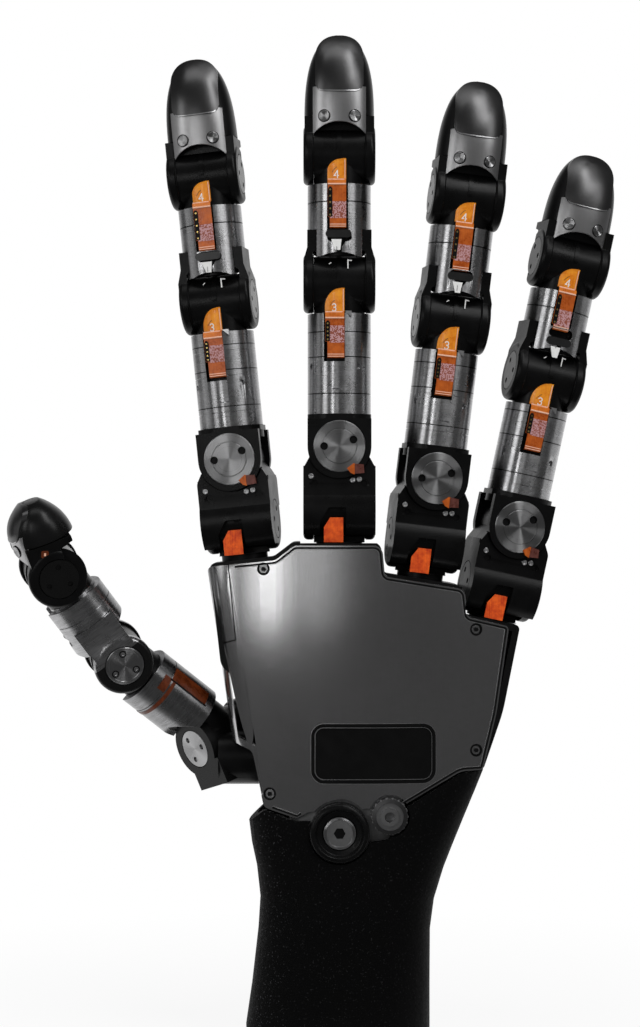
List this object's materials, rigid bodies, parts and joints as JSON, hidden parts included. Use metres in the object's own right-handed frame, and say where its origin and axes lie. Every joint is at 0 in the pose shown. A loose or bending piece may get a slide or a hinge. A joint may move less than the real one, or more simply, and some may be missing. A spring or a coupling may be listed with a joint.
{
  "type": "dexterous robot hand",
  "caption": "Right robot hand with geared metal-sleeved fingers and thumb, soft fingertips, a curved metal back shell and a flanged wrist sleeve.",
  "frame": {"origin": "centre of the mounting flange's lower face", "axes": "+Z from the wrist to the fingertips, -Y out of the back of the hand, -X towards the thumb"},
  "size_m": [0.1565, 0.0461, 0.2614],
  "materials": {
    "black_polymer": "glass-filled black polymer, satin",
    "turned_metal": "turned face with circular grain",
    "sleeve_metal": "brushed along the sleeve",
    "nail_metal": "dark satin metal, polished edge",
    "pad_rubber": "smooth black elastomer",
    "shell_metal": "gunmetal, fine brushed, curved",
    "front_polymer": "matte black moulding",
    "frame_metal": "machined, matt",
    "ribbon_film": "amber polyimide film",
    "badge_gloss": "gloss black, bare",
    "screw_steel": "fine turned steel",
    "motor_steel": "plain steel can",
    "board_green": "solder-masked board",
    "wrist_polymer": "black, fine grain speckle",
    "flange_metal": "dark anodised",
    "ring_polymer": "moulded black, satin"
  },
  "bodies": {
    "palm": {"palm_back_shell": "shell_metal", "palm_front_shell": "front_polymer", "palm_grip_pad": "pad_rubber", "palm_chassis": "frame_metal", "knuckle_housings": "black_polymer", "trunnion_caps": "turned_metal", "base_ribbons": "ribbon_film", "badge_plate": "badge_gloss", "shell_screws": "screw_steel", "palm_motors": "motor_steel", "control_board": "board_green", "wrist_sleeve": "wrist_polymer", "wrist_flange": "flange_metal", "wrist_clamp_ring": "ring_polymer", "wrist_screws": "screw_steel"},
    "index_base": {"index_base_yoke": "black_polymer", "index_spread_axle": "turned_metal"},
    "index_proximal": {"index_proximal_frame": "black_polymer", "index_proximal_sleeve": "sleeve_metal"},
    "index_middle": {"index_middle_frame": "black_polymer", "index_middle_sleeve": "sleeve_metal"},
    "index_tip": {"index_tip_core": "black_polymer", "index_nail_plate": "nail_metal", "index_tip_pad": "pad_rubber"},
    "middle_base": {"middle_base_yoke": "black_polymer", "middle_spread_axle": "turned_metal"},
    "middle_proximal": {"middle_proximal_frame": "black_polymer", "middle_proximal_sleeve": "sleeve_metal"},
    "middle_middle": {"middle_middle_frame": "black_polymer", "middle_middle_sleeve": "sleeve_metal"},
    "middle_tip": {"middle_tip_core": "black_polymer", "middle_nail_plate": "nail_metal", "middle_tip_pad": "pad_rubber"},
    "ring_base": {"ring_base_yoke": "black_polymer", "ring_spread_axle": "turned_metal"},
    "ring_proximal": {"ring_proximal_frame": "black_polymer", "ring_proximal_sleeve": "sleeve_metal"},
    "ring_middle": {"ring_middle_frame": "black_polymer", "ring_middle_sleeve": "sleeve_metal"},
    "ring_tip": {"ring_tip_core": "black_polymer", "ring_nail_plate": "nail_metal", "ring_tip_pad": "pad_rubber"},
    "little_base": {"little_base_yoke": "black_polymer", "little_spread_axle": "turned_metal"},
    "little_proximal": {"little_proximal_frame": "black_polymer", "little_proximal_sleeve": "sleeve_metal"},
    "little_middle": {"little_middle_frame": "black_polymer", "little_middle_sleeve": "sleeve_metal"},
    "little_tip": {"little_tip_core": "black_polymer", "little_nail_plate": "nail_metal", "little_tip_pad": "pad_rubber"},
    "thumb_base": {"thumb_base_yoke": "black_polymer", "thumb_spread_axle": "turned_metal"},
    "thumb_proximal": {"thumb_proximal_frame": "black_polymer", "thumb_proximal_sleeve": "sleeve_metal"},
    "thumb_middle": {"thumb_middle_frame": "black_polymer", "thumb_middle_sleeve": "sleeve_metal"},
    "thumb_tip": {"thumb_tip_core": "black_polymer", "thumb_nail_plate": "nail_metal", "thumb_tip_pad": "pad_rubber"}
  },
  "joints": [
    {"name": "index_mcp_flex", "type": "hinge", "parent": "palm", "child": "index_base", "pos_m": [-0.0255, 0.002, 0.1352], "axis": [-0.9852, 0.1392, -0.1001], "range_deg": [-15, 88]},
    {"name": "index_spread", "type": "hinge", "parent": "index_base", "child": "index_proximal", "pos_m": [-0.02716, 0.002, 0.15152], "axis": [-0.1385, -0.9903, -0.0141], "range_deg": [-8, 15]},
    {"name": "index_pip_flex", "type": "hinge", "parent": "index_proximal", "child": "index_middle", "pos_m": [-0.0313, 0.002, 0.19231], "axis": [-0.9852, 0.1392, -0.1001], "range_deg": [0, 95]},
    {"name": "index_dip_flex", "type": "hinge", "parent": "index_middle", "child": "index_tip", "pos_m": [-0.0346, 0.002, 0.22484], "axis": [-0.9852, 0.1392, -0.1001], "range_deg": [0, 82]},
    {"name": "middle_mcp_flex", "type": "hinge", "parent": "palm", "child": "middle_base", "pos_m": [0, 0, 0.1383], "axis": [-1, 0, 0], "range_deg": [-15, 88]},
    {"name": "middle_spread", "type": "hinge", "parent": "middle_base", "child": "middle_proximal", "pos_m": [0, 0, 0.1547], "axis": [0, -1, 0], "range_deg": [-4.5, 6]},
    {"name": "middle_pip_flex", "type": "hinge", "parent": "middle_proximal", "child": "middle_middle", "pos_m": [0, 0, 0.1971], "axis": [-1, 0, 0], "range_deg": [0, 95]},
    {"name": "middle_dip_flex", "type": "hinge", "parent": "middle_middle", "child": "middle_tip", "pos_m": [0, 0, 0.2304], "axis": [-1, 0, 0], "range_deg": [0, 82]},
    {"name": "ring_mcp_flex", "type": "hinge", "parent": "palm", "child": "ring_base", "pos_m": [0.0221, 0.001, 0.1303], "axis": [-0.9854, -0.1219, 0.1192], "range_deg": [-15, 88]},
    {"name": "ring_spread", "type": "hinge", "parent": "ring_base", "child": "ring_proximal", "pos_m": [0.02407, 0.001, 0.14658], "axis": [-0.121, 0.9925, 0.0146], "range_deg": [-4, 7]},
    {"name": "ring_pip_flex", "type": "hinge", "parent": "ring_proximal", "child": "ring_middle", "pos_m": [0.029, 0.001, 0.18728], "axis": [-0.9854, -0.1219, 0.1192], "range_deg": [0, 95]},
    {"name": "ring_dip_flex", "type": "hinge", "parent": "ring_middle", "child": "ring_tip", "pos_m": [0.03288, 0.001, 0.21935], "axis": [-0.9854, -0.1219, 0.1192], "range_deg": [0, 82]},
    {"name": "little_mcp_flex", "type": "hinge", "parent": "palm", "child": "little_base", "pos_m": [0.0416, 0.004, 0.1182], "axis": [-0.9595, -0.1908, 0.2074], "range_deg": [-15, 88]},
    {"name": "little_spread", "type": "hinge", "parent": "little_base", "child": "little_proximal", "pos_m": [0.04507, 0.004, 0.13423], "axis": [-0.1865, 0.9816, 0.0403], "range_deg": [-6.5, 15]},
    {"name": "little_pip_flex", "type": "hinge", "parent": "little_proximal", "child": "little_middle", "pos_m": [0.05343, 0.004, 0.17294], "axis": [-0.9595, -0.1908, 0.2074], "range_deg": [0, 95]},
    {"name": "little_dip_flex", "type": "hinge", "parent": "little_middle", "child": "little_tip", "pos_m": [0.05986, 0.004, 0.20265], "axis": [-0.9595, -0.1908, 0.2074], "range_deg": [0, 82]},
    {"name": "thumb_rotate", "type": "hinge", "parent": "palm", "child": "thumb_base", "pos_m": [-0.021, 0.006, 0.0735], "axis": [-1, 0, 0], "range_deg": [-10, 70]},
    {"name": "thumb_abduct", "type": "hinge", "parent": "thumb_base", "child": "thumb_proximal", "pos_m": [-0.0311, 0.011, 0.0784], "axis": [-0.7204, -0.6303, -0.2896], "range_deg": [-20, 20]},
    {"name": "thumb_mcp_flex", "type": "hinge", "parent": "thumb_proximal", "child": "thumb_middle", "pos_m": [-0.05737, -0.00148, 0.10045], "axis": [-0.262, 0.9397, 0.2198], "range_deg": [-10, 50]},
    {"name": "thumb_ip_flex", "type": "hinge", "parent": "thumb_middle", "child": "thumb_tip", "pos_m": [-0.07312, -0.01111, 0.12282], "axis": [-0.262, 0.9397, 0.2198], "range_deg": [-10, 70]}
  ]
}
